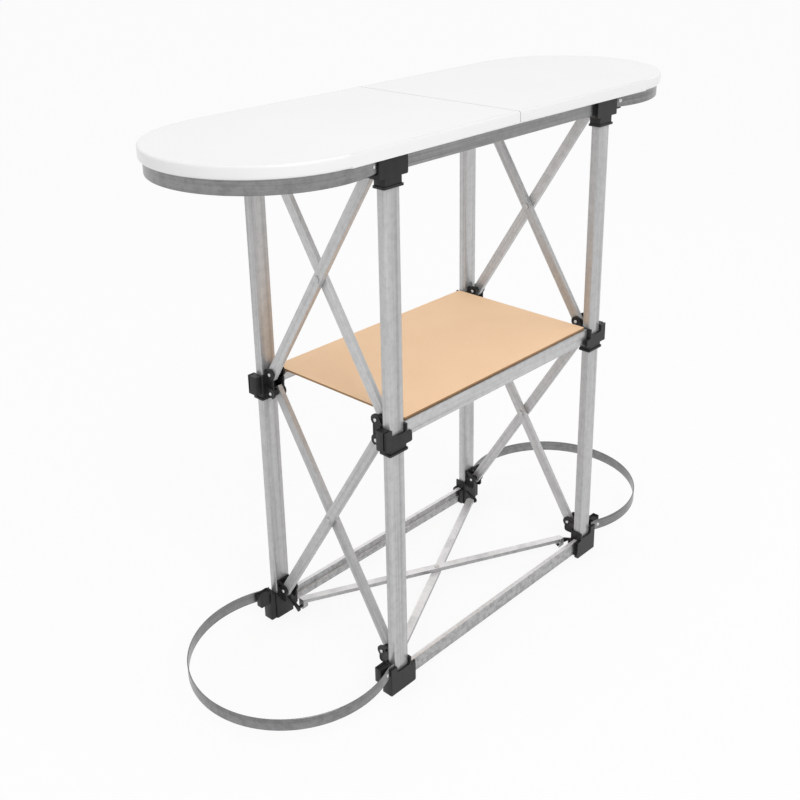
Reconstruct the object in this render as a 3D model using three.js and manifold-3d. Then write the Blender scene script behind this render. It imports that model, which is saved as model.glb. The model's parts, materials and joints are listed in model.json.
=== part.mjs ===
// A folding portable bar: front and back ladder frames joined at the short ends by two storeys of
// scissor braces, with a worktop in two halves, a loose shelf, a floor brace and bent end bands.
// X runs along the bar, Y from front to back, Z up from the floor. Millimetres.
import * as THREE from "three";
import { mergeVertices } from "three/addons/utils/BufferGeometryUtils.js";
import Module from "manifold-3d";

const wasm = await Module();
wasm.setup();

// Driving dimensions
const fit = 0.3; // gap between pieces that touch
const worktopLength = 1204;
const worktopWidth = 398;
const worktopThickness = 22;
const worktopUnderside = 1020;
const worktopEdge = 4; // rounding of the worktop's edges
const postSpacingX = 594; // between post centre lines
const postSpacingY = 334;
const postWidth = 36; // along X
const postDepth = 18; // along Y
const postWall = 1.8;
const postCorner = 3;
const railHeight = 30;
const railDepth = 12;
const railStep = 3; // the upper half of a rail's inner face is set back
const railWall = 1.8;
const bottomRailLift = 10; // under the bottom rails
const midRailRise = 33; // top of the middle rails above the lower middle pivots
const shelfThickness = 4;
const shelfEndGap = 8; // from the shelf's ends to the posts
const shelfLap = 8; // how far the shelf lies over each middle rail
const braceWidth = 20;
const braceThickness = 10;
const braceWall = 1.5;
const braceOverrun = 9; // brace end past its pivot
const braceSpread = 1; // between two crossing braces
const pivotInset = 28; // pivot from the post's centre line
const bottomPivot = 70; // above the floor
const topPivotDrop = 25; // below the worktop
const midPivotGap = 39; // between the two pivots of a middle connector
const pinRadius = 3;
const pinHeadRadius = 5.5;
const pinHeadThickness = 2;
const rivetRadius = 4;
const rivetHeadRadius = 7;
const rivetHeadThickness = 2;
const turnSlack = 0.4; // hole radius over pin radius, for faceted rounds that turn
const socketGap = 0.4; // round a post in its socket
const socketWall = 3.6;
const plateThickness = 5; // a connector's outer face
const plateCut = 14; // depth of the cut that shows the post
const collarThinning = 1;
const collarLip = 4;
const midCollar = 13;
const topCollar = 18;
const soleThickness = 4; // under the lower posts, and between the two posts of a corner
const roofThickness = 8; // over the upper posts
const crown = 18; // bottom connector above its rail
const cradleLength = 14;
const cradleWall = 3.6;
const cradleFloor = 6;
const midCradleWall = 10; // height of the middle cradles' walls beside the rail
const bandEar = 12; // length of the jaws that hold a band's end
const bandHeight = 24;
const bandThickness = 2;
const bandOffset = 10; // a band's end outside the post's centre line
const bandInset = 7; // band inside the worktop's edge
const lowerBandOvershoot = 6; // lower band's end past the worktop's
const lowerBandLift = 42;
const cheekThickness = 4;
const lobeRadius = 11;
const tongueRise = 17; // half height of a fork's tongue at its root
const shelfForkDrop = 3; // root of the middle connectors' upper fork below the shelf's rail
const bossRadius = 7;
const axleInset = 36; // floor brace axle from the post's centre line
const axleHeight = 17;
const axleLobe = 7;
const axleRadius = 3;
const eyeRadius = 7;
const eyeLength = 12;
const floorBarWidth = 16;
const floorBarThickness = 8;
const floorBarClear = 1.5; // from the floor bars' eyes to the connector bodies
const hookExit = 62; // degrees below level at which the front axle leaves its hook

// Sizes that follow
const cornerX = postSpacingX / 2;
const cornerY = postSpacingY / 2;
const topPivot = worktopUnderside - topPivotDrop;
const pivotRise = (topPivot - bottomPivot - midPivotGap) / 2;
const midLowerPivot = bottomPivot + pivotRise;
const midUpperPivot = midLowerPivot + midPivotGap;
const pivotSpan = postSpacingY - 2 * pivotInset;
const braceLean = Math.atan2(pivotSpan, pivotRise);
const braceLength = Math.hypot(pivotSpan, pivotRise) + 2 * braceOverrun;
const bracePlane = (braceThickness + braceSpread) / 2;
const cheekInside = braceThickness + braceSpread / 2 + 2 * fit;
const cheekOutside = cheekInside + cheekThickness;
const socketU = postWidth / 2 + socketGap;
const socketV = postDepth / 2 + socketGap;
const wallU = socketU + socketWall;
const frontV = socketV + plateThickness;
const backV = socketV + socketWall;
const cradleEnd = wallU + cradleLength;
const bottomRailTop = bottomRailLift + railHeight;
const midRailTop = midLowerPivot + midRailRise;
const topRailTop = worktopUnderside - fit;
const midBody = midRailTop - railHeight - 2 * socketWall;
const midWeb = midBody + 14;
const topBody = topRailTop - railHeight - cradleFloor;
const topRoof = topRailTop - roofThickness;
const far = 2 * worktopLength; // longer than any cut needs

const aluminium = { color: 0xb4b6b8, roughness: 0.38, metalness: 0.85 };
const blackPlastic = { color: 0x2a2b2c, roughness: 0.6, metalness: 0 };
const whiteLaminate = { color: 0xf4f4f2, roughness: 0.3, metalness: 0 };
const tanBoard = { color: 0xf3c48f, roughness: 0.65, metalness: 0 };
const steel = { color: 0xd6d7d8, roughness: 0.3, metalness: 0.9 };

const bar = new THREE.Group();

// Closed geometry as a manifold-3d solid, and back again
function solid(geometry) {
  const bare = geometry.clone();
  bare.deleteAttribute("normal");
  bare.deleteAttribute("uv");
  const merged = mergeVertices(bare, 1e-4);
  return new wasm.Manifold(
    new wasm.Mesh({
      numProp: 3,
      vertProperties: new Float32Array(merged.attributes.position.array),
      triVerts: new Uint32Array(merged.index.array),
    }),
  );
}

function geometryOf(manifold) {
  const mesh = manifold.getMesh();
  const geometry = new THREE.BufferGeometry();
  geometry.setAttribute("position", new THREE.BufferAttribute(mesh.vertProperties, 3));
  geometry.setIndex(new THREE.BufferAttribute(mesh.triVerts, 1));
  geometry.computeVertexNormals();
  return geometry;
}

function add(name, shape, look) {
  const geometry = shape.isBufferGeometry ? shape : geometryOf(shape);
  const mesh = new THREE.Mesh(geometry, new THREE.MeshStandardMaterial(look));
  mesh.name = name;
  bar.add(mesh);
  return mesh;
}

function box(x0, x1, y0, y1, z0, z1) {
  const geometry = new THREE.BoxGeometry(x1 - x0, y1 - y0, z1 - z0);
  return solid(geometry.translate((x0 + x1) / 2, (y0 + y1) / 2, (z0 + z1) / 2));
}

// Cylinder along X through (y, z)
function rodX(radius, x0, x1, y, z, sides = 10) {
  const geometry = new THREE.CylinderGeometry(radius, radius, x1 - x0, sides);
  return solid(geometry.rotateZ(Math.PI / 2).translate((x0 + x1) / 2, y, z));
}

// A shape pushed along one axis; its own axes are (x, y), (y, z) or (x, z)
function extrude(shape, from, to, along, curveSegments = 1) {
  const options = { depth: to - from, bevelEnabled: false, curveSegments };
  const geometry = new THREE.ExtrudeGeometry(shape, options);
  if (along === "x") {
    geometry.applyMatrix4(
      new THREE.Matrix4().makeBasis(
        new THREE.Vector3(0, 1, 0),
        new THREE.Vector3(0, 0, 1),
        new THREE.Vector3(1, 0, 0),
      ),
    );
    geometry.translate(from, 0, 0);
  } else if (along === "y") {
    geometry.rotateX(Math.PI / 2).translate(0, to, 0);
  } else {
    geometry.translate(0, 0, from);
  }
  return geometry;
}

function roundedRect(x0, x1, y0, y1, r) {
  const shape = new THREE.Shape();
  shape.moveTo(x0 + r, y0);
  shape.lineTo(x1 - r, y0);
  shape.absarc(x1 - r, y0 + r, r, -Math.PI / 2, 0);
  shape.lineTo(x1, y1 - r);
  shape.absarc(x1 - r, y1 - r, r, 0, Math.PI / 2);
  shape.lineTo(x0 + r, y1);
  shape.absarc(x0 + r, y1 - r, r, Math.PI / 2, Math.PI);
  shape.lineTo(x0, y0 + r);
  shape.absarc(x0 + r, y0 + r, r, Math.PI, 1.5 * Math.PI);
  return shape;
}

function polygon(points) {
  return new THREE.Shape(points.map(([x, y]) => new THREE.Vector2(x, y)));
}

function joined(solids) {
  return solids.reduce((sum, next) => sum.add(next));
}

// Connectors are built round the post's centre line: x points out to the bar's end, y in towards the
// opposite post. Each corner mirrors them into place.
function tongue(y, z, radius, low, high, x0, x1) {
  const root = socketV + socketWall / 2;
  const reach = y - root;
  const open = (rise) => Math.PI - Math.atan2(rise, reach) - Math.acos(radius / Math.hypot(reach, rise));
  const shape = new THREE.Shape();
  shape.moveTo(root, z - low);
  shape.absarc(y, z, radius, -open(low), open(high));
  shape.lineTo(root, z + high);
  return solid(extrude(shape, x0, x1, "x", 4));
}

function fork(pivot) {
  const high = pivot.high ?? tongueRise;
  const boss = pivot.outer ? [-cheekInside, -fit / 2] : [fit / 2, cheekInside];
  return joined([
    tongue(pivotInset, pivot.z, lobeRadius, tongueRise, high, cheekInside, cheekOutside),
    tongue(pivotInset, pivot.z, lobeRadius, tongueRise, high, -cheekOutside, -cheekInside),
    rodX(bossRadius, boss[0], boss[1], pivotInset, pivot.z),
    box(-cheekOutside, cheekOutside, socketV, backV, pivot.z - tongueRise, pivot.z + high),
  ]);
}

function cradle(railTop, wallTop) {
  const floor = railTop - railHeight - cradleFloor;
  const outline = polygon([
    [-wallU + socketWall / 2, floor],
    [-cradleEnd + cradleFloor, floor],
    [-cradleEnd, floor + cradleFloor],
    [-cradleEnd, wallTop],
    [-wallU + socketWall / 2, wallTop],
  ]);
  const half = railDepth / 2 + fit;
  const block = solid(extrude(outline, -half - cradleWall, half + cradleWall, "y"));
  return block.subtract(box(-far, -wallU, -half, half, railTop - railHeight - fit, railTop + fit));
}

function connector(level) {
  const { body, top, railTop, collar, sockets, pivots, cut, slotFloor, axle } = level;
  const wallTop = level.wallTop ?? railTop;
  const ear = wallU + bandEar;
  const pieces = [
    solid(extrude(roundedRect(-wallU, wallU, -frontV, backV, 2.5), body, top, "z")),
    solid(extrude(roundedRect(wallU - 6, ear, -frontV, socketV, 2), body, top, "z")),
    solid(extrude(roundedRect(-cradleEnd + 4, 0, body, wallTop, 3), -frontV, -railDepth / 2 - fit, "y")),
    cradle(railTop, wallTop),
    ...pivots.map(fork),
  ];
  if (collar) {
    const thin = collarThinning;
    const sleeve = roundedRect(-wallU + thin, wallU - thin, -backV + thin, backV - thin, 2.5);
    const lip = roundedRect(-wallU - thin, wallU + thin, -backV - thin, backV, 2.5);
    pieces.push(solid(extrude(sleeve, body - collar, body + 1, "z")));
    pieces.push(solid(extrude(lip, body - collar, body - collar + collarLip, "z")));
  }
  if (axle) {
    const rise = axleHeight - fit;
    pieces.push(tongue(axleInset, axleHeight, axleLobe, rise, rise, -cheekOutside, -cheekInside));
    const axleEnd = wallU + floorBarClear + eyeLength + 2;
    pieces.push(rodX(axleRadius, -axleEnd, -cheekInside, axleInset, axleHeight));
  }
  let made = joined(pieces);
  for (const [z0, z1] of sockets) {
    const bore = roundedRect(-socketU, socketU, -socketV, socketV, postCorner);
    made = made.subtract(solid(extrude(bore, z0, z1, "z")));
  }
  const slot = bandThickness / 2 + socketGap;
  made = made.subtract(box(wallU, far, -bandOffset - slot, -bandOffset + slot, slotFloor, top + fit));
  if (cut) {
    const opening = roundedRect(-socketU + 1, socketU - 1, top - cut, top + cut, 4);
    made = made.subtract(solid(extrude(opening, -frontV - 1, -socketV + 1, "y")));
  }
  for (const pivot of pivots) {
    made = made.subtract(rodX(pinRadius + fit / 2, -far, far, pivotInset, pivot.z));
  }
  return made;
}

// A pin turned on its own axis, with a head at each end, along X
function headedPin(radius, headRadius, headThickness, halfGrip) {
  const half = halfGrip + headThickness;
  const profile = [
    [0, -half],
    [headRadius, -half],
    [headRadius, -halfGrip],
    [radius, -halfGrip],
    [radius, halfGrip],
    [headRadius, halfGrip],
    [headRadius, half],
    [0, half],
  ].map(([r, y]) => new THREE.Vector2(r, y));
  return new THREE.LatheGeometry(profile, 8).rotateZ(Math.PI / 2);
}

const corners = [
  { name: "front_left", side: -1, face: 1 },
  { name: "front_right", side: 1, face: 1 },
  { name: "back_left", side: -1, face: -1 },
  { name: "back_right", side: 1, face: -1 },
];

// Braces that rise to the back lie on the inner side of each end, those that rise to the front on the outer
for (const { name, side, face } of corners) {
  const front = face > 0;
  const levels = {
    bottom: {
      body: 0,
      top: bottomRailTop + crown,
      railTop: bottomRailTop,
      sockets: [[soleThickness, far]],
      pivots: [{ z: bottomPivot, outer: !front }],
      cut: plateCut,
      slotFloor: lowerBandLift - fit,
      axle: true,
    },
    mid: {
      body: midBody,
      top: midRailTop,
      railTop: midRailTop,
      collar: midCollar,
      sockets: [[0, midWeb], [midWeb + soleThickness, far]],
      wallTop: midRailTop - railHeight + midCradleWall,
      pivots: [
        { z: midLowerPivot, outer: front },
        { z: midUpperPivot, outer: !front, high: midRailTop - shelfForkDrop - midUpperPivot },
      ],
      cut: plateCut,
      slotFloor: midBody + soleThickness,
    },
    top: {
      body: topBody,
      top: topRailTop,
      railTop: topRailTop,
      collar: topCollar,
      sockets: [[0, topRoof]],
      pivots: [{ z: topPivot, outer: front }],
      slotFloor: topRailTop - bandHeight - fit,
    },
  };
  const place = (mesh) => {
    mesh.position.set(side * cornerX, -face * cornerY, 0);
    mesh.scale.set(side, face, 1);
  };
  for (const [level, sizes] of Object.entries(levels)) {
    place(add(`${name}_${level}_connector`, connector(sizes), blackPlastic));
    for (const pivot of sizes.pivots) {
      const which = level !== "mid" ? level : pivot.z === midLowerPivot ? "mid_lower" : "mid_upper";
      const pin = headedPin(pinRadius, pinHeadRadius, pinHeadThickness, cheekOutside + fit);
      place(add(`${name}_${which}_pin`, pin.translate(0, pivotInset, pivot.z), steel));
    }
  }
  const tube = roundedRect(-postWidth / 2, postWidth / 2, -postDepth / 2, postDepth / 2, postCorner);
  tube.holes.push(
    roundedRect(
      -postWidth / 2 + postWall,
      postWidth / 2 - postWall,
      -postDepth / 2 + postWall,
      postDepth / 2 - postWall,
      postCorner - postWall,
    ),
  );
  place(add(`${name}_lower_post`, extrude(tube, soleThickness + fit, midWeb - fit, "z"), aluminium));
  const upperFoot = midWeb + soleThickness + fit;
  place(add(`${name}_upper_post`, extrude(tube, upperFoot, topRoof - fit, "z"), aluminium));
}

// Rails, a stepped hollow section with its flat face outwards
const railTops = { bottom: bottomRailTop, mid: midRailTop, top: topRailTop };
for (const [level, railTop] of Object.entries(railTops)) {
  const half = railDepth / 2;
  const middle = railTop - railHeight / 2;
  const section = (inset) =>
    polygon([
      [-half + inset, railTop - railHeight + inset],
      [half - inset, railTop - railHeight + inset],
      [half - inset, middle - inset],
      [half - railStep - inset, middle - inset],
      [half - railStep - inset, railTop - inset],
      [-half + inset, railTop - inset],
    ]);
  const outline = section(0);
  outline.holes.push(section(railWall));
  for (const [name, face] of [["front", 1], ["back", -1]]) {
    const reach = cornerX - wallU - fit;
    const rail = add(`${name}_${level}_rail`, extrude(outline, -reach, reach, "x"), aluminium);
    rail.position.y = -face * cornerY;
    rail.scale.y = face;
  }
}

// Scissor braces: rectangular tubes with a hole at each pivot. The outer one of a pair carries the rivet.
function brace(outer) {
  const half = braceLength / 2;
  const t = braceThickness / 2;
  const w = braceWidth / 2;
  let tube = box(-t, t, -w, w, -half, half);
  tube = tube.subtract(box(-t + braceWall, t - braceWall, -w + braceWall, w - braceWall, -far, far));
  for (const z of [-half + braceOverrun, half - braceOverrun]) {
    tube = tube.subtract(rodX(pinRadius + turnSlack, -far, far, 0, z));
  }
  if (!outer) {
    return tube.subtract(rodX(rivetRadius + turnSlack, -far, far, 0, 0));
  }
  const tail = -t - braceSpread - braceThickness - fit;
  return joined([
    tube,
    rodX(rivetRadius, tail - rivetHeadThickness, t + rivetHeadThickness, 0, 0),
    rodX(rivetHeadRadius, t, t + rivetHeadThickness, 0, 0),
    rodX(rivetHeadRadius, tail - rivetHeadThickness, tail, 0, 0),
  ]);
}

for (const [end, side] of [["left", -1], ["right", 1]]) {
  for (const [storey, foot] of [["lower", bottomPivot], ["upper", midUpperPivot]]) {
    for (const outer of [false, true]) {
      const name = `${end}_${storey}_${outer ? "outer" : "inner"}_brace`;
      const mesh = add(name, brace(outer), aluminium);
      mesh.position.set(side * (cornerX + (outer ? bracePlane : -bracePlane)), 0, foot + pivotRise / 2);
      mesh.rotation.x = outer ? braceLean : -braceLean;
      mesh.scale.x = side;
    }
  }
}

// Floor brace: two flat bars with a closed eye on each back axle and an open hook over each front one
const eyeX = cornerX - wallU - floorBarClear - eyeLength / 2;
const eyeY = cornerY - axleInset;
const floorBarLength = 2 * Math.hypot(eyeX, eyeY);
const floorBarTurn = Math.atan2(eyeY, eyeX);

function endFitting(x, y, barTop) {
  const x0 = x - eyeLength / 2;
  const x1 = x + eyeLength / 2;
  return joined([
    rodX(eyeRadius, x0, x1, y, axleHeight, 16),
    box(x0, x1, y - eyeRadius, y + eyeRadius, axleHeight, barTop),
  ]);
}

function floorBar(side, bottom) {
  const top = bottom + floorBarThickness;
  const slim = floorBarWidth / 2;
  const flat = new THREE.BoxGeometry(floorBarLength, 2 * slim, floorBarThickness);
  flat.rotateZ(-side * floorBarTurn).translate(0, 0, (bottom + top) / 2);
  const exit = new THREE.BoxGeometry(far, 2 * eyeRadius, 2 * (axleRadius + turnSlack));
  exit.translate(0, eyeRadius, 0).rotateX(THREE.MathUtils.degToRad(-hookExit));
  const hook = side * eyeX;
  let made = joined([solid(flat), endFitting(-hook, eyeY, top), endFitting(hook, -eyeY, top)]);
  for (const y of [-eyeY, eyeY]) {
    made = made.subtract(rodX(axleRadius + turnSlack, -far, far, y, axleHeight));
  }
  made = made.subtract(solid(exit.translate(0, -eyeY, axleHeight)));
  return made.subtract(
    solid(new THREE.CylinderGeometry(pinRadius + fit / 2, pinRadius + fit / 2, far, 10).rotateX(Math.PI / 2)),
  );
}

const lowerFloorBar = axleHeight;
const upperFloorBar = lowerFloorBar + floorBarThickness + 2 * fit;
add("lower_floor_bar", floorBar(-1, lowerFloorBar), aluminium);
add("upper_floor_bar", floorBar(1, upperFloorBar), aluminium);
const floorGrip = floorBarThickness + 2 * fit;
const floorRivet = headedPin(pinRadius, pinHeadRadius, pinHeadThickness, floorGrip);
add("floor_brace_rivet", floorRivet.rotateY(Math.PI / 2), steel).position.z = upperFloorBar - fit;

// End bands: a straight end in each connector's jaws, joined by one arc round the bar's end
function band(end, bottom) {
  const reach = end - bandThickness / 2;
  const tail = cornerX + wallU + fit;
  const bend = cornerX + wallU + bandEar + 2;
  const seat = cornerY + bandOffset;
  const centre = (reach ** 2 - bend ** 2 - seat ** 2) / (2 * (reach - bend));
  const r = reach - centre;
  const turn = Math.atan2(seat, bend - centre);
  const shape = new THREE.Shape();
  const t = bandThickness / 2;
  shape.moveTo(tail, -seat - t);
  shape.lineTo(bend, -seat - t);
  shape.absarc(centre, 0, r + t, -turn, turn);
  shape.lineTo(bend, seat + t);
  shape.lineTo(tail, seat + t);
  shape.lineTo(tail, seat - t);
  shape.lineTo(bend, seat - t);
  shape.absarc(centre, 0, r - t, turn, -turn, true);
  shape.lineTo(bend, -seat + t);
  shape.lineTo(tail, -seat + t);
  return extrude(shape, bottom, bottom + bandHeight, "z", 15);
}

const upperReach = worktopLength / 2 - bandInset;
for (const [end, side] of [["left", -1], ["right", 1]]) {
  const upper = add(`${end}_upper_band`, band(upperReach, topRailTop - bandHeight), aluminium);
  const lower = add(
    `${end}_lower_band`,
    band(worktopLength / 2 + lowerBandOvershoot, lowerBandLift),
    aluminium,
  );
  upper.scale.x = side;
  lower.scale.x = side;
}

// Boards
const shelfX = cornerX - postWidth / 2 - shelfEndGap;
const shelfY = cornerY - railDepth / 2 + shelfLap;
const shelf = roundedRect(-shelfX, shelfX, -shelfY, shelfY, 3);
add("shelf", extrude(shelf, midRailTop + fit, midRailTop + fit + shelfThickness, "z"), tanBoard);

function worktopHalf() {
  const r = worktopWidth / 2;
  const shape = new THREE.Shape();
  shape.moveTo(-r, -r);
  shape.lineTo(worktopLength / 2 - r, -r);
  shape.absarc(worktopLength / 2 - r, 0, r, -Math.PI / 2, Math.PI / 2);
  shape.lineTo(-r, r);
  const geometry = new THREE.ExtrudeGeometry(shape, {
    depth: worktopThickness - 2 * worktopEdge,
    bevelThickness: worktopEdge,
    bevelSize: worktopEdge,
    bevelOffset: -worktopEdge,
    bevelSegments: 2,
    curveSegments: 18,
  });
  const board = solid(geometry.translate(0, 0, worktopUnderside + worktopEdge));
  return board.intersect(box(fit, far, -far, far, 0, far));
}

add("right_worktop", worktopHalf(), whiteLaminate);
add("left_worktop", worktopHalf(), whiteLaminate).scale.x = -1;

export default bar;
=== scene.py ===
import json
import math

import bmesh
import bpy
from mathutils import Matrix, Vector


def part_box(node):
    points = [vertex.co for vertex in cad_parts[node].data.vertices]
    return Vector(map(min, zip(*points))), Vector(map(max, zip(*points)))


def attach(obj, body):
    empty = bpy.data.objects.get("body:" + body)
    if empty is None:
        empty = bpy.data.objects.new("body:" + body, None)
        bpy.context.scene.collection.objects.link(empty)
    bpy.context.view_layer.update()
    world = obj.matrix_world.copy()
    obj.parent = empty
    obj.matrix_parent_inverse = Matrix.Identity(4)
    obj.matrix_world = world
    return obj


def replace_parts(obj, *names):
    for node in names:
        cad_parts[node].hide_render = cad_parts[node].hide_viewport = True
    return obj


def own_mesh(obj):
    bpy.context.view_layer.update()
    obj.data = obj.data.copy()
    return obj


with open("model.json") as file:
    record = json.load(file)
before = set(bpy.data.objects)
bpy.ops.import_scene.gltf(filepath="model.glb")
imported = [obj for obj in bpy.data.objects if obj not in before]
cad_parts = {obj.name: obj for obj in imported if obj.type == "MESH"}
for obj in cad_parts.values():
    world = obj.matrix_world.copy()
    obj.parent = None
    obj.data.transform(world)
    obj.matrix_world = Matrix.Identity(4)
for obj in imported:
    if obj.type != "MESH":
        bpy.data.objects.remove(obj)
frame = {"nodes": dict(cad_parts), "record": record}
nodes = frame["nodes"]
bodies = frame["record"]["behaviour"]["bodies"]
bodyOf = {node: body for body, members in bodies.items() for node in members}
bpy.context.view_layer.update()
scene = bpy.context.scene
scene.view_settings.view_transform = "Standard"
print("frame loaded", len(nodes))


# Camera at the photograph's angle
view = {
    "place": (-1.5063, -1.3417, 1.4169),
    "azimuth": 46.362,
    "elevation": 20.87,
    "roll": -1.059,
    "sensor": 36,
    "focal": 1104.3 / 800,  # in widths of the picture
    "shift": -0.125,
}


def addCamera():
    az, el, roll = (math.radians(view[k]) for k in ("azimuth", "elevation", "roll"))
    ahead = Vector((math.sin(az) * math.cos(el), math.cos(az) * math.cos(el), -math.sin(el)))
    right = ahead.cross(Vector((0, 0, 1))).normalized()
    up = right.cross(ahead)
    turnedRight = math.cos(roll) * right + math.sin(roll) * up
    turnedUp = -math.sin(roll) * right + math.cos(roll) * up
    data = bpy.data.cameras.new("camera")
    data.sensor_width = view["sensor"]
    data.lens = view["sensor"] * view["focal"]
    data.shift_y = view["shift"]
    camera = bpy.data.objects.new("camera", data)
    turn = Matrix((turnedRight, turnedUp, -ahead)).transposed()
    camera.matrix_world = Matrix.Translation(view["place"]) @ turn.to_4x4()
    scene.collection.objects.link(camera)
    scene.camera = camera


addCamera()


# Node helpers
mixSockets = {"one": 6, "two": 7, "result": 2}  # a Mix node's colour sockets


def newTree(name):
    material = bpy.data.materials.new(name)
    material.use_nodes = True
    tree = material.node_tree
    return material, tree, tree.nodes["Principled BSDF"]


def addNode(tree, kind, **settings):
    node = tree.nodes.new(kind)
    for key, value in settings.items():
        if key in node.inputs:
            node.inputs[key].default_value = value
        else:
            setattr(node, key, value)
    return node


def objectCoords(tree, scale=(1, 1, 1), turn=(0, 0, 0)):
    coords = addNode(tree, "ShaderNodeTexCoord")
    turning = addNode(tree, "ShaderNodeMapping", Rotation=turn)
    scaling = addNode(tree, "ShaderNodeMapping", Scale=scale)  # after the turn
    tree.links.new(coords.outputs["Object"], turning.inputs["Vector"])
    tree.links.new(turning.outputs["Vector"], scaling.inputs["Vector"])
    return scaling.outputs["Vector"]


def noise(tree, coords, **settings):
    node = addNode(tree, "ShaderNodeTexNoise", **settings)
    tree.links.new(coords, node.inputs["Vector"])
    return node.outputs["Fac"]


def ramp(tree, source, stops):
    node = addNode(tree, "ShaderNodeValToRGB")
    elements = node.color_ramp.elements
    while len(elements) < len(stops):
        elements.new(0.5)
    for element, (position, colour) in zip(elements, stops):
        element.position = position
        element.color = (*colour, 1)
    tree.links.new(source, node.inputs["Fac"])
    return node.outputs["Color"]


def greyRamp(tree, source, stops):
    return ramp(tree, source, [(position, (tone, tone, tone)) for position, tone in stops])


def spread(tree, source, low, high, start=0.25, end=0.75):
    node = addNode(tree, "ShaderNodeMapRange")
    ends = {"From Min": start, "From Max": end, "To Min": low, "To Max": high}
    for key, value in ends.items():
        node.inputs[key].default_value = value
    tree.links.new(source, node.inputs["Value"])
    return node.outputs["Result"]


def multiply(tree, one, two):
    mix = addNode(tree, "ShaderNodeMix", data_type="RGBA", blend_type="MULTIPLY", Factor=1)
    tree.links.new(one, mix.inputs[mixSockets["one"]])
    tree.links.new(two, mix.inputs[mixSockets["two"]])
    return mix.outputs[mixSockets["result"]]


def bump(tree, shader, height, strength, distance):
    node = addNode(tree, "ShaderNodeBump", Strength=strength, Distance=distance)
    tree.links.new(height, node.inputs["Height"])
    tree.links.new(node.outputs["Normal"], shader.inputs["Normal"])


# 1 on the rays that see the studio, 0 on the rays that only carry its light
def backdropRays(tree):
    rays = addNode(tree, "ShaderNodeLightPath")
    seen = rays.outputs["Is Camera Ray"]
    for kind in ("Is Glossy Ray", "Is Transmission Ray"):
        either = addNode(tree, "ShaderNodeMath", operation="MAXIMUM")
        tree.links.new(seen, either.inputs[0])
        tree.links.new(rays.outputs[kind], either.inputs[1])
        seen = either.outputs[0]
    return seen


# Drawn aluminium: fine lines along the section, slow clouds and streaks of tone, scuffs
grainNoise = {
    "Lines": {"Scale": 1, "Detail": 5, "Roughness": 0.65},
    "Streaks": {"Scale": 0.16, "Detail": 3, "Roughness": 0.6},
    "Cloud": {"Scale": 0.018, "Detail": 3, "Roughness": 0.55},
}
drawn = {
    "cool": 1.01,  # blue against grey
    "lineStops": (0.3, 0.7),
    "cloudStops": ((0.35, 0.82), (0.65, 1.0)),
    "streakStops": ((0.34, 0.8), (0.5, 1.0), (0.62, 1.0), (0.74, 0.9)),
    "scuffNoise": {"Scale": 75, "Detail": 6, "Roughness": 0.7},
    "scuffStops": (0.4, 0.55),
    "smoother": 0.06,
    "rougher": 0.08,
    "bumpStrength": 0.12,
    "bumpDepth": 0.0002,
}


def makeDrawnGrain():
    group = bpy.data.node_groups.new("drawnGrain", "ShaderNodeTree")
    group.interface.new_socket("Vector", in_out="INPUT", socket_type="NodeSocketVector")
    for output in grainNoise:
        group.interface.new_socket(output, in_out="OUTPUT", socket_type="NodeSocketFloat")
    start = group.nodes.new("NodeGroupInput")
    end = group.nodes.new("NodeGroupOutput")
    for output, settings in grainNoise.items():
        grain = noise(group, start.outputs["Vector"], **settings)
        group.links.new(grain, end.inputs[output])
    return group


drawnGrain = makeDrawnGrain()


def drawnAluminium(name, look):
    material, tree, shader = newTree(name)
    grain = addNode(tree, "ShaderNodeGroup", node_tree=drawnGrain)
    coords = objectCoords(tree, look["stretch"], (look.get("tilt", 0), 0, 0))
    tree.links.new(coords, grain.inputs["Vector"])
    lines = grain.outputs["Lines"]
    tones = [(tone, tone, tone * drawn["cool"]) for tone in look["tones"]]
    tone = ramp(tree, lines, list(zip(drawn["lineStops"], tones)))
    shade = greyRamp(tree, grain.outputs["Cloud"], drawn["cloudStops"])
    streak = greyRamp(tree, grain.outputs["Streaks"], drawn["streakStops"])
    handling = noise(tree, objectCoords(tree), **drawn["scuffNoise"])
    scuff = greyRamp(tree, handling, list(zip(drawn["scuffStops"], (look["scuff"], 1.0))))
    colour = multiply(tree, multiply(tree, multiply(tree, tone, shade), streak), scuff)
    tree.links.new(colour, shader.inputs["Base Color"])
    low, high = look["rough"] - drawn["smoother"], look["rough"] + drawn["rougher"]
    tree.links.new(spread(tree, lines, low, high), shader.inputs["Roughness"])
    shader.inputs["Metallic"].default_value = look["metal"]
    bump(tree, shader, lines, drawn["bumpStrength"], drawn["bumpDepth"])
    return material


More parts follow.
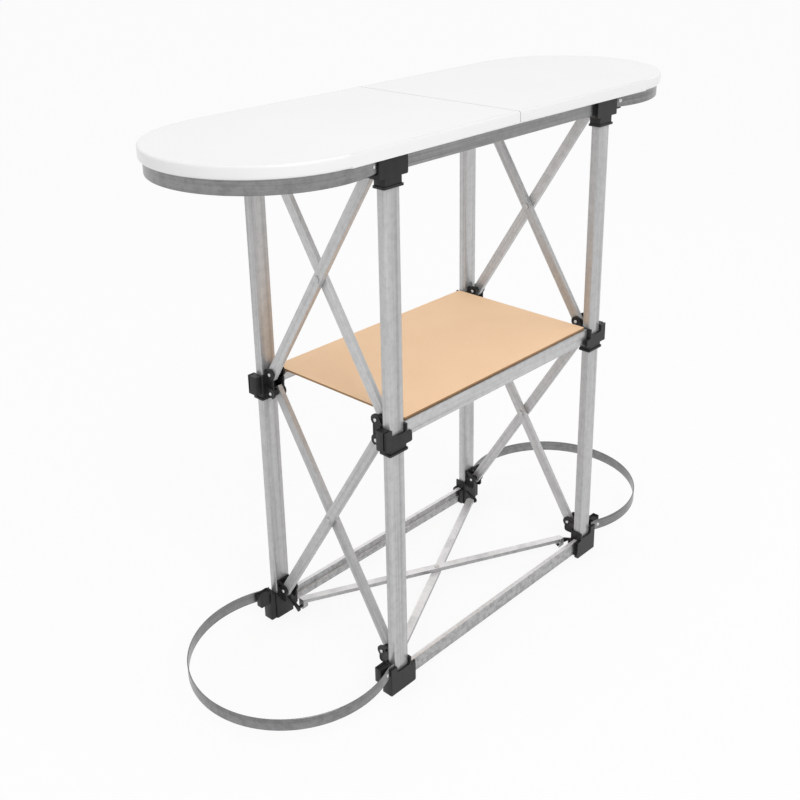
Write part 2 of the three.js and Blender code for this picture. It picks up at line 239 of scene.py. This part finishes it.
brace = {"run": 0.278, "rise": 0.443}
lean = math.atan2(brace["run"], brace["rise"])  # from upright
across, along = 900, 6  # scale of the grain over and along a section
upright = (across, across, along)
lengthways = (along, across, across)
railLook = dict(stretch=lengthways, tones=(0.54, 0.66), rough=0.32, metal=0.85, scuff=0.88)
braceLook = dict(stretch=upright, tones=(0.56, 0.66), rough=0.42, metal=0.55, scuff=0.9)
aluminiumLooks = {
    "post": dict(stretch=upright, tones=(0.535, 0.65), rough=0.36, metal=0.65, scuff=0.9),
    "rail": railLook,
    "bottomRail": dict(railLook, tones=(0.43, 0.54), scuff=0.68),
    # painted shade: the top rail's tones are much darker, for the shade under the worktop
    "topRailPaintedShade": dict(railLook, tones=(0.27, 0.4), rough=0.3, metal=0.9),
    "inner": dict(braceLook, tilt=lean),
    "outer": dict(braceLook, tilt=-lean),
    "floor": dict(
        stretch=(60, 400, across), tones=(0.42, 0.52), rough=0.38, metal=0.75, scuff=0.85,
    ),
    # painted light: a near white aluminium for the faces that look up, where light falls on the
    # tops
    "paintedLightTop": dict(
        stretch=(90, 90, across), tones=(0.86, 0.94), rough=0.34, metal=0.5, scuff=0.96,
    ),
    # painted reflection: the bands' tones are dark for the darker surroundings that they reflect
    "band": dict(stretch=(9, 9, 1300), tones=(0.25, 0.32), rough=0.28, metal=0.9, scuff=0.82),
}
aluminium = {}
for part, look in aluminiumLooks.items():
    aluminium[part] = drawnAluminium(part + "Aluminium", look)


# Moulded black plastic with a spark-eroded grain
plasticLook = {
    "grain": {"Scale": 1400, "Detail": 3, "Roughness": 0.6},
    "patch": {"Scale": 45, "Detail": 3},
    "stops": ((0.35, (0.012, 0.012, 0.013)), (0.7, (0.021, 0.021, 0.022))),
    "rough": (0.27, 0.42),
    "shine": 0.28,
    "bumpStrength": 0.25,
    "bumpDepth": 0.0003,
}


def mouldedPlastic():
    material, tree, shader = newTree("mouldedPlastic")
    coords = objectCoords(tree)
    grain = noise(tree, coords, **plasticLook["grain"])
    patch = noise(tree, coords, **plasticLook["patch"])
    tree.links.new(ramp(tree, patch, plasticLook["stops"]), shader.inputs["Base Color"])
    tree.links.new(spread(tree, patch, *plasticLook["rough"]), shader.inputs["Roughness"])
    bump(tree, shader, grain, plasticLook["bumpStrength"], plasticLook["bumpDepth"])
    shader.inputs["Specular IOR Level"].default_value = plasticLook["shine"]
    return material


plastic = mouldedPlastic()


# Bright rivet heads with fine turning scratches
rivetLook = {
    "stretch": (1, 1, 3),
    "scratches": {"Scale": 900, "Detail": 4},
    "stops": ((0.3, (0.6, 0.6, 0.61)), (0.7, (0.74, 0.74, 0.74))),
    "rough": (0.22, 0.4),
    "metal": 0.7,
}


def rivetMetal():
    material, tree, shader = newTree("rivetMetal")
    coords = objectCoords(tree, rivetLook["stretch"])
    scratches = noise(tree, coords, **rivetLook["scratches"])
    tree.links.new(ramp(tree, scratches, rivetLook["stops"]), shader.inputs["Base Color"])
    tree.links.new(spread(tree, scratches, *rivetLook["rough"]), shader.inputs["Roughness"])
    shader.inputs["Metallic"].default_value = rivetLook["metal"]
    return material


rivetSteel = rivetMetal()


# White laminate with a faint drift in its gloss, and a grey for painted shade in the seam between
# the halves
laminateLooks = {
    "whiteLaminate": {"tones": (0.825, 0.84), "rough": (0.17, 0.23)},
    "seamPaintedShade": {"tones": (0.3, 0.36), "rough": (0.4, 0.5)},
}
laminateCloud = {"noise": {"Scale": 4, "Detail": 2}, "stops": (0.3, 0.7)}


def plainLaminate(name):
    look = laminateLooks[name]
    material, tree, shader = newTree(name)
    cloud = noise(tree, objectCoords(tree), **laminateCloud["noise"])
    colour = greyRamp(tree, cloud, list(zip(laminateCloud["stops"], look["tones"])))
    tree.links.new(colour, shader.inputs["Base Color"])
    tree.links.new(spread(tree, cloud, *look["rough"]), shader.inputs["Roughness"])
    return material


topWhite = plainLaminate("whiteLaminate")
seamPaintedShade = plainLaminate("seamPaintedShade")


# Tan hardboard: pressed fibres, a few darker flecks, browner where it is cut
boardLooks = {
    "shelfFace": {"tones": ((0.97, 0.66, 0.415), (1.0, 0.695, 0.445)), "fleck": 0.94},
    "shelfEdge": {"tones": ((0.3, 0.17, 0.08), (0.42, 0.25, 0.13)), "fleck": 0.7},
}
hardboard = {
    "fibre": {"Scale": 420, "Detail": 6, "Roughness": 0.7, "Distortion": 0.6},
    "cloud": {"Scale": 9, "Detail": 4},
    "cloudStops": (0.3, 0.7),
    "fleckStops": (0.32, 0.46),
    "rough": (0.5, 0.7),
    "shine": 0.25,
    "bumpStrength": 0.1,
    "bumpDepth": 0.0003,
}


def tanBoard(name):
    look = boardLooks[name]
    material, tree, shader = newTree(name)
    coords = objectCoords(tree)
    fibre = noise(tree, coords, **hardboard["fibre"])
    cloud = noise(tree, coords, **hardboard["cloud"])
    base = ramp(tree, cloud, list(zip(hardboard["cloudStops"], look["tones"])))
    flecks = greyRamp(tree, fibre, list(zip(hardboard["fleckStops"], (look["fleck"], 1.0))))
    tree.links.new(multiply(tree, base, flecks), shader.inputs["Base Color"])
    tree.links.new(spread(tree, fibre, *hardboard["rough"]), shader.inputs["Roughness"])
    shader.inputs["Specular IOR Level"].default_value = hardboard["shine"]
    bump(tree, shader, fibre, hardboard["bumpStrength"], hardboard["bumpDepth"])
    return material


shelfFace = tanBoard("shelfFace")
shelfEdge = tanBoard("shelfEdge")
print("materials made")


# Mesh helpers
shading = {
    "sharp": math.radians(40),
    "broad": 20,  # a face this many times its neighbour stays flat
    "facing": 0.9,  # least part of a normal that looks along an axis
}
hair = 1e-6  # points this near are one


def sign(number):
    return 1 if number > 0 else -1


def isCorner(edge):
    return edge.calc_face_angle(0) > shading["sharp"]


def addPiece(name, bm, materials, body):
    mesh = bpy.data.meshes.new(name)
    for face in bm.faces:
        face.smooth = True
    for edge in bm.edges:
        areas = sorted(face.calc_area() for face in edge.link_faces)
        flat = areas[-1] > shading["broad"] * areas[0]
        edge.smooth = not flat and edge.calc_face_angle(0) < shading["sharp"]
    bm.to_mesh(mesh)
    bm.free()
    for material in materials:
        mesh.materials.append(material)
    piece = bpy.data.objects.new(name, mesh)
    scene.collection.objects.link(piece)
    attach(piece, body)
    return piece


def bevelled(bm, edges, width, segments):
    bmesh.ops.bevel(
        bm, geom=edges, offset=width, segments=segments, profile=0.5, affect="EDGES",
        clamp_overlap=True, material=-1,
    )


def vertsOf(made):
    return [item for item in made["geom"] if isinstance(item, bmesh.types.BMVert)]


def boxMiddle(node):
    low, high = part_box(node)
    return (low + high) / 2


def sizedBlock(size):
    bm = bmesh.new()
    bmesh.ops.create_cube(bm, size=1)
    bmesh.ops.scale(bm, verts=bm.verts, vec=size)
    return bm


# Turned about X, from (distance along X, radius) pairs that start and end on the axis
def turned(profile, sides=20):
    bm = bmesh.new()
    points = [bm.verts.new((distance, 0, radius)) for distance, radius in profile]
    edges = [bm.edges.new(pair) for pair in zip(points, points[1:])]
    bmesh.ops.spin(
        bm, geom=points + edges, cent=(0, 0, 0), axis=(1, 0, 0), angle=2 * math.pi, steps=sides,
        use_merge=True, use_duplicate=False,
    )
    bmesh.ops.remove_doubles(bm, verts=bm.verts, dist=hair)
    bmesh.ops.recalc_face_normals(bm, faces=bm.faces)
    return bm


# Tubes and moulded pieces keep their solids' forms with eased corners
easing = {"merge": 4e-5, "flat": math.radians(1), "steps": 2}
easedPieces = {
    "_post": (0.0004, [aluminium["post"]], "frame"),
    "top_rail": (0.0008, [aluminium["topRailPaintedShade"]], "frame"),
    "mid_rail": (0.0008, [aluminium["rail"]], "frame"),
    "bottom_rail": (0.0008, [aluminium["bottomRail"], aluminium["paintedLightTop"]], "frame"),
    "inner_brace": (0.001, [aluminium["inner"]], "frame"),
    "outer_brace": (0.001, [aluminium["outer"]], "frame"),
    "floor_bar": (0.0008, [aluminium["floor"], aluminium["paintedLightTop"]], "frame"),
    "_connector": (0.0007, [plastic], "connector"),
}


# A second material, a much paler aluminium, goes on the faces that look up: painted light on their
# tops
def eased(node, width, materials):
    bm = bmesh.new()
    bm.from_mesh(nodes[node].data)
    bmesh.ops.remove_doubles(bm, verts=bm.verts, dist=easing["merge"])
    bmesh.ops.dissolve_limit(bm, angle_limit=easing["flat"], verts=bm.verts, edges=bm.edges)
    bevelled(bm, [e for e in bm.edges if isCorner(e)], width, easing["steps"])
    bm.normal_update()
    for face in bm.faces:
        looksUp = face.normal.z > shading["facing"]
        face.material_index = len(materials) - 1 if looksUp else 0
    piece = addPiece(node + ".eased", bm, materials, bodyOf[node])
    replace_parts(piece, node)


for name in nodes:
    for ending, (width, materials, slot) in easedPieces.items():
        if name.endswith(ending):
            eased(name, width, materials)
print("solids eased")


# Fork pins with domed heads
pin = {
    "shaft": 0.0026,
    "headRise": 0.0018,
    "headShare": 0.62,  # of the solid's head
    "dome": ((0, 1), (0.35, 0.98), (0.7, 0.84), (0.92, 0.55), (1, 0.2), (1, 0)),  # rise, radius
}


def pinProfile(half, head):
    grip = half - pin["headRise"]
    dome = [(grip + pin["headRise"] * rise, head * radius) for rise, radius in pin["dome"]]
    right = [(grip, pin["shaft"]), *dome]
    left = [(-distance, radius) for distance, radius in reversed(right)]
    return [*left, *right]


def turnedPin(node):
    low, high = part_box(node)
    bm = turned(pinProfile((high.x - low.x) / 2, pin["headShare"] * (high.z - low.z) / 2))
    bmesh.ops.translate(bm, verts=bm.verts, vec=boxMiddle(node))
    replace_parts(addPiece(node + ".turned", bm, [rivetSteel], bodyOf[node]), node)


def standRivet(name, node):
    low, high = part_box(node)
    bm = turned(pinProfile((high.z - low.z) / 2, (high.x - low.x) / 2))
    bmesh.ops.rotate(bm, verts=bm.verts, matrix=Matrix.Rotation(math.pi / 2, 3, "Y"))
    bmesh.ops.translate(bm, verts=bm.verts, vec=boxMiddle(node))
    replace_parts(addPiece(name, bm, [rivetSteel], bodyOf[node]), node)


for name in nodes:
    if name.endswith("_pin"):
        turnedPin(name)
standRivet("floorRivet.turned", "floor_brace_rivet")
print("pins turned")


# Worktop halves: a rounded end and a soft edge, cut square at the seam
worktop = {
    "segments": 144,
    "soft": 0.0045,
    "softSteps": 6,
    "seamSoft": 0.0009,
    "seamSteps": 2,
    "seamReach": 1.1,  # times seamSoft, the faces that show grey
}


def worktopHalf(node):
    low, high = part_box(node)
    side = sign(boxMiddle(node).x)
    radius = (high.y - low.y) / 2
    seam, reach = sorted((abs(low.x), abs(high.x)))
    centre = reach - radius

    def onSeam(edge):
        return all(abs(v.co.x - seam) < hair for v in edge.verts)

    bm = bmesh.new()
    bmesh.ops.create_circle(bm, cap_ends=True, radius=radius, segments=worktop["segments"])
    disc = bm.verts[:] + bm.edges[:] + bm.faces[:]
    cut = bmesh.ops.bisect_plane(
        bm, geom=disc, plane_co=(0, 0, 0), plane_no=(-1, 0, 0), clear_outer=True,
    )
    chord = [e for e in cut["geom_cut"] if isinstance(e, bmesh.types.BMEdge)]
    lengthened = bmesh.ops.extrude_edge_only(bm, edges=chord)
    bmesh.ops.translate(bm, verts=vertsOf(lengthened), vec=(seam - centre, 0, 0))
    raised = bmesh.ops.extrude_face_region(bm, geom=bm.faces[:])
    bmesh.ops.translate(bm, verts=vertsOf(raised), vec=(0, 0, high.z - low.z))
    bmesh.ops.translate(bm, verts=bm.verts, vec=(centre, 0, low.z))
    bmesh.ops.recalc_face_normals(bm, faces=bm.faces)
    levels = [e for e in bm.edges if abs(e.verts[0].co.z - e.verts[1].co.z) < hair]
    rims = [e for e in levels if isCorner(e) and not onSeam(e)]
    bevelled(bm, rims, worktop["soft"], worktop["softSteps"])
    aboveBase = low.z + worktop["soft"]
    seamRims = [e for e in bm.edges if onSeam(e) and max(v.co.z for v in e.verts) > aboveBase]
    bevelled(bm, seamRims, worktop["seamSoft"], worktop["seamSteps"])
    # painted shade: the faces at the seam take the grey, for the shade in the joint
    greyEnd = seam + worktop["seamReach"] * worktop["seamSoft"]
    for face in bm.faces:
        if all(v.co.x < greyEnd for v in face.verts):
            face.material_index = 1
    bmesh.ops.scale(bm, verts=bm.verts, vec=(side, 1, 1))
    bmesh.ops.recalc_face_normals(bm, faces=bm.faces)
    piece = addPiece(node + ".board", bm, [topWhite, seamPaintedShade], bodyOf[node])
    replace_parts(piece, node)


worktopHalf("left_worktop")
worktopHalf("right_worktop")


# Shelf board: round corners, eased rims, browner cut edges
shelf = {"corner": 0.004, "cornerSteps": 4, "rim": 0.0005, "rimSteps": 1}


def shelfBoard():
    low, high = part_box("shelf")
    size = high - low
    bm = sizedBlock(size)
    bmesh.ops.translate(bm, verts=bm.verts, vec=(low + high) / 2)
    uprights = [e for e in bm.edges if abs(e.verts[0].co.z - e.verts[1].co.z) > size.z / 2]
    bevelled(bm, uprights, shelf["corner"], shelf["cornerSteps"])
    bevelled(bm, [e for e in bm.edges if isCorner(e)], shelf["rim"], shelf["rimSteps"])
    for face in bm.faces:
        face.material_index = 0 if abs(face.normal.z) > shading["facing"] else 1
    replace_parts(addPiece("shelf.board", bm, [shelfFace, shelfEdge], "shelf"), "shelf")


shelfBoard()
print("boards made")


# End bands: straight in the connectors' jaws, then one arc round the end
band = {
    "thick": 0.002,
    "soft": 0.0005,
    "lead": 0.0137,
    "offset": 0.01,  # outside the middle of the posts
    "steps": 96,
    "closing": 0.2405,  # how far the frames come together
}
bandNodes = [f"{end}_{level}_band" for end in ("left", "right") for level in ("lower", "upper")]


def bandCurve(node):
    low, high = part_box(node)
    tail, tip = sorted((abs(low.x), abs(high.x)))
    seat = -boxMiddle("front_left_lower_post").y + band["offset"]
    reach = tip - band["thick"] / 2
    bend = tail + band["lead"]
    centre = (reach**2 - bend**2 - seat**2) / (2 * (reach - bend))
    return {
        "side": sign(boxMiddle(node).x),
        "seat": seat,
        "tail": tail,
        "bend": bend,
        "reach": reach,
        "centre": centre,
        "turn": math.atan2(seat, bend - centre),
    }


def closeWithFrame(piece):
    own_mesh(piece)


def bandPiece(node):
    low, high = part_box(node)
    curve = bandCurve(node)
    seat, bend, centre, turn = (curve[key] for key in ("seat", "bend", "centre", "turn"))
    half, soft = band["thick"] / 2, band["soft"]
    section = [
        (-half, low.z + soft), (-half + soft, low.z), (half - soft, low.z), (half, low.z + soft),
        (half, high.z - soft), (half - soft, high.z), (soft - half, high.z), (-half, high.z - soft),
    ]
    bm = bmesh.new()
    ring = [bm.verts.new((curve["reach"] + off, 0, z)) for off, z in section]
    start = bm.faces.new(ring)
    toStart = Matrix.Rotation(-turn, 3, "Z")
    bmesh.ops.rotate(bm, verts=ring, cent=(centre, 0, 0), matrix=toStart)
    bmesh.ops.spin(
        bm, geom=[start], cent=(centre, 0, 0), axis=(0, 0, 1), angle=2 * turn, steps=band["steps"],
        use_duplicate=False,
    )
    caps = [f for f in bm.faces if len(f.verts) == len(section)]
    for cap in caps:
        hand = sign(cap.calc_center_median().y)
        grown = vertsOf(bmesh.ops.extrude_face_region(bm, geom=[cap]))
        straighten = Matrix.Rotation(-hand * (turn - math.pi / 2), 3, "Z")
        bmesh.ops.rotate(bm, verts=grown, cent=(bend, hand * seat, 0), matrix=straighten)
        bmesh.ops.translate(bm, verts=grown, vec=(curve["tail"] - bend, 0, 0))
    inside = [f for f in bm.faces if all(len(e.link_faces) > 2 for e in f.edges)]
    bmesh.ops.delete(bm, geom=inside, context="FACES_ONLY")
    bmesh.ops.scale(bm, verts=bm.verts, vec=(curve["side"], 1, 1))
    bmesh.ops.recalc_face_normals(bm, faces=bm.faces)
    piece = addPiece(node + ".strip", bm, [aluminium["band"]], bodyOf[node])
    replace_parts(piece, node)
    closeWithFrame(piece)


for node in bandNodes:
    bandPiece(node)
print("bands bent")


# Small domed rivets that hold the bands to their jaw blocks
bandRivet = {
    "pastBend": 0.009,
    "sides": 16,
    "profile": (
        (-0.0006, 0), (-0.0006, 0.0036), (0.0005, 0.0036), (0.0012, 0.0027), (0.0016, 0.001),
        (0.0016, 0),
    ),
}


def bandRivets(node):
    curve = bandCurve(node)
    radius = curve["reach"] - curve["centre"]
    angle = curve["turn"] - bandRivet["pastBend"] / radius
    for face, hand in (("front", -1), ("back", 1)):
        bm = turned(bandRivet["profile"], bandRivet["sides"])
        bmesh.ops.translate(bm, verts=bm.verts, vec=(radius + band["thick"] / 2, 0, 0))
        bmesh.ops.rotate(bm, verts=bm.verts, matrix=Matrix.Rotation(hand * angle, 3, "Z"))
        bmesh.ops.translate(bm, verts=bm.verts, vec=(curve["centre"], 0, boxMiddle(node).z))
        bmesh.ops.scale(bm, verts=bm.verts, vec=(curve["side"], 1, 1))
        bmesh.ops.recalc_face_normals(bm, faces=bm.faces)
        piece = addPiece(f"{node}.{face}Rivet", bm, [rivetSteel], bodyOf[node])
        closeWithFrame(piece)


for node in bandNodes:
    bandRivets(node)
print("rivets set")


# Jaw blocks that back the bands where they leave the connectors
jaw = {
    "out": 0.022,
    "overlap": 0.004,
    "deep": 0.015,
    "wall": 0.0035,
    "pocket": 0.005,
    "soft": 0.0012,
    "softSteps": 2,
    "gap": 0.0002,  # to the band
}
jawRims = {"lower": (0.003, 0.004), "upper": (0.005, -0.001)}  # below and above the band


def bandJaw(connector, level):
    low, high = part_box(connector)
    middle = boxMiddle(connector)
    side, face = sign(middle.x), sign(middle.y)
    node = f"{'right' if side > 0 else 'left'}_{level}_band"
    bandLow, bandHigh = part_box(node)
    below, above = jawRims[level]
    height = bandHigh.z - bandLow.z + below + above
    size = Vector((jaw["out"] + jaw["overlap"], jaw["deep"], height))
    bm = sizedBlock(size)
    top = [f for f in bm.faces if f.normal.z > shading["facing"]]
    bmesh.ops.inset_region(bm, faces=top, thickness=jaw["wall"])
    bmesh.ops.translate(bm, verts=top[0].verts, vec=(0, 0, -jaw["pocket"]))
    outline = [e for e in bm.edges if isCorner(e) and e.is_convex]
    bevelled(bm, outline, jaw["soft"], jaw["softSteps"])
    outer = max(abs(low.x), abs(high.x))
    touch = bandCurve(node)["seat"] - band["thick"] / 2 - jaw["gap"]
    place = Vector((
        side * (outer + jaw["out"] - size.x / 2),
        face * (touch - size.y / 2),
        bandLow.z - below + size.z / 2,
    ))
    bmesh.ops.translate(bm, verts=bm.verts, vec=place)
    bmesh.ops.recalc_face_normals(bm, faces=bm.faces)
    addPiece(connector + ".jaw", bm, [plastic], bodyOf[connector])


for end in ("left", "right"):
    for face in ("front", "back"):
        bandJaw(f"{face}_{end}_bottom_connector", "lower")
        bandJaw(f"{face}_{end}_top_connector", "upper")
print("jaws set")


# Panelled plates that join each fork's cheeks to its connector
plate = {
    "inside": 0.0111,
    "outside": 0.0145,
    "start": 0.012,
    "end": 0.035,
    "round": 0.006,
    "roundSteps": 5,
}
panel = {"frame": 0.0028, "depth": 0.0014}
plateSpan = {  # about the pivot
    "bottom": (-0.024, 0.004),
    "mid": (-0.009, 0.048),
    "top": (-0.004, 0.022),
}


def forkPlates(corner, level):
    pivot = boxMiddle(f"{corner}_{'mid_lower' if level == 'mid' else level}_pin")
    postRow = boxMiddle(corner + "_lower_post").y
    inward = -sign(postRow)
    below, above = plateSpan[level]
    thick = plate["outside"] - plate["inside"]
    size = Vector((thick, plate["end"] - plate["start"], above - below))
    bm = sizedBlock(size)
    rounds = [e for e in bm.edges if abs(e.verts[0].co.x - e.verts[1].co.x) > size.x / 2]
    bevelled(bm, rounds, plate["round"], plate["roundSteps"])
    outer = [f for f in bm.faces if f.normal.x > shading["facing"]]
    bmesh.ops.inset_region(bm, faces=outer, thickness=panel["frame"], use_even_offset=True)
    bmesh.ops.translate(bm, verts=outer[0].verts, vec=(-panel["depth"], 0, 0))
    fromPivot = (plate["inside"] + plate["outside"]) / 2
    bmesh.ops.translate(bm, verts=bm.verts, vec=(fromPivot, 0, 0))
    twin = bmesh.ops.duplicate(bm, geom=bm.verts[:] + bm.edges[:] + bm.faces[:])
    bmesh.ops.scale(bm, verts=vertsOf(twin), vec=(-1, 1, 1))
    place = (
        pivot.x,
        postRow + inward * (plate["start"] + plate["end"]) / 2,
        pivot.z + (below + above) / 2,
    )
    bmesh.ops.translate(bm, verts=bm.verts, vec=place)
    bmesh.ops.recalc_face_normals(bm, faces=bm.faces)
    connector = f"{corner}_{level}_connector"
    addPiece(connector + ".plates", bm, [plastic], bodyOf[connector])


for corner in ("front_left", "front_right", "back_left", "back_right"):
    for level in plateSpan:
        forkPlates(corner, level)
print("plates set")


# White floor
ground = {
    "halfWidth": 30,
    "drop": 0.0005,  # under the feet
    "speckle": {"Scale": 30, "Detail": 2},
    "stops": ((0.3, 0.88), (0.7, 0.9)),
    "rough": 0.9,
    "shine": 0.1,
    "glow": 0.88,  # share of plain white that the camera and reflections see
}


def addFloor():
    bm = bmesh.new()
    bmesh.ops.create_grid(bm, x_segments=4, y_segments=4, size=ground["halfWidth"])
    mesh = bpy.data.meshes.new("floor")
    bm.to_mesh(mesh)
    bm.free()
    material, tree, shader = newTree("floorPaint")
    speckle = noise(tree, objectCoords(tree), **ground["speckle"])
    colour = greyRamp(tree, speckle, ground["stops"])
    tree.links.new(colour, shader.inputs["Base Color"])
    shader.inputs["Roughness"].default_value = ground["rough"]
    shader.inputs["Specular IOR Level"].default_value = ground["shine"]
    share = addNode(tree, "ShaderNodeMath", operation="MULTIPLY")
    share.inputs[1].default_value = ground["glow"]
    tree.links.new(backdropRays(tree), share.inputs[0])
    glow = addNode(tree, "ShaderNodeEmission")
    mix = addNode(tree, "ShaderNodeMixShader")
    tree.links.new(share.outputs[0], mix.inputs["Fac"])
    tree.links.new(shader.outputs[0], mix.inputs[1])
    tree.links.new(glow.outputs[0], mix.inputs[2])
    tree.links.new(mix.outputs[0], tree.nodes["Material Output"].inputs["Surface"])
    mesh.materials.append(material)
    floor = bpy.data.objects.new("floor", mesh)
    floor.location.z = -ground["drop"]
    scene.collection.objects.link(floor)


addFloor()


# Soft studio light
lights = {
    "overhead": {"place": (0.2, -0.4, 4.2), "aim": (0, 0, 0.5), "size": 3.6, "power": 10},
    "frontFill": {"place": (-1.3, -2.9, 3.5), "aim": (0, 0, 0.55), "size": 2.6, "power": 54},
}


def addLight(name):
    look = lights[name]
    data = bpy.data.lights.new(name, "AREA")
    data.shape = "DISK"
    data.size = look["size"]
    data.energy = look["power"]
    light = bpy.data.objects.new(name, data)
    place = Vector(look["place"])
    light.location = place
    light.rotation_euler = (Vector(look["aim"]) - place).to_track_quat("-Z", "Y").to_euler()
    scene.collection.objects.link(light)


for name in lights:
    addLight(name)


# Light from all round, paler above, behind a near white backdrop
sky = {
    "strength": 0.85,
    "stops": ((0.0, 0.9), (0.5, 0.72), (0.62, 0.86), (1.0, 1.0)),  # from below to above
    "backdrop": (0.98, 0.98, 0.98, 1),
}


def addWorld():
    world = bpy.data.worlds.new("studio")
    scene.world = world
    world.use_nodes = True
    tree = world.node_tree
    coords = addNode(tree, "ShaderNodeTexCoord")
    parts = addNode(tree, "ShaderNodeSeparateXYZ")
    tree.links.new(coords.outputs["Generated"], parts.inputs["Vector"])
    height = spread(tree, parts.outputs["Z"], 0, 1, start=-1, end=1)
    light = tree.nodes["Background"]
    tree.links.new(greyRamp(tree, height, sky["stops"]), light.inputs["Color"])
    light.inputs["Strength"].default_value = sky["strength"]
    backdrop = addNode(tree, "ShaderNodeBackground", Color=sky["backdrop"], Strength=1)
    mix = addNode(tree, "ShaderNodeMixShader")
    tree.links.new(backdropRays(tree), mix.inputs["Fac"])
    tree.links.new(light.outputs[0], mix.inputs[1])
    tree.links.new(backdrop.outputs[0], mix.inputs[2])
    tree.links.new(mix.outputs[0], tree.nodes["World Output"].inputs["Surface"])


addWorld()
print("studio set")
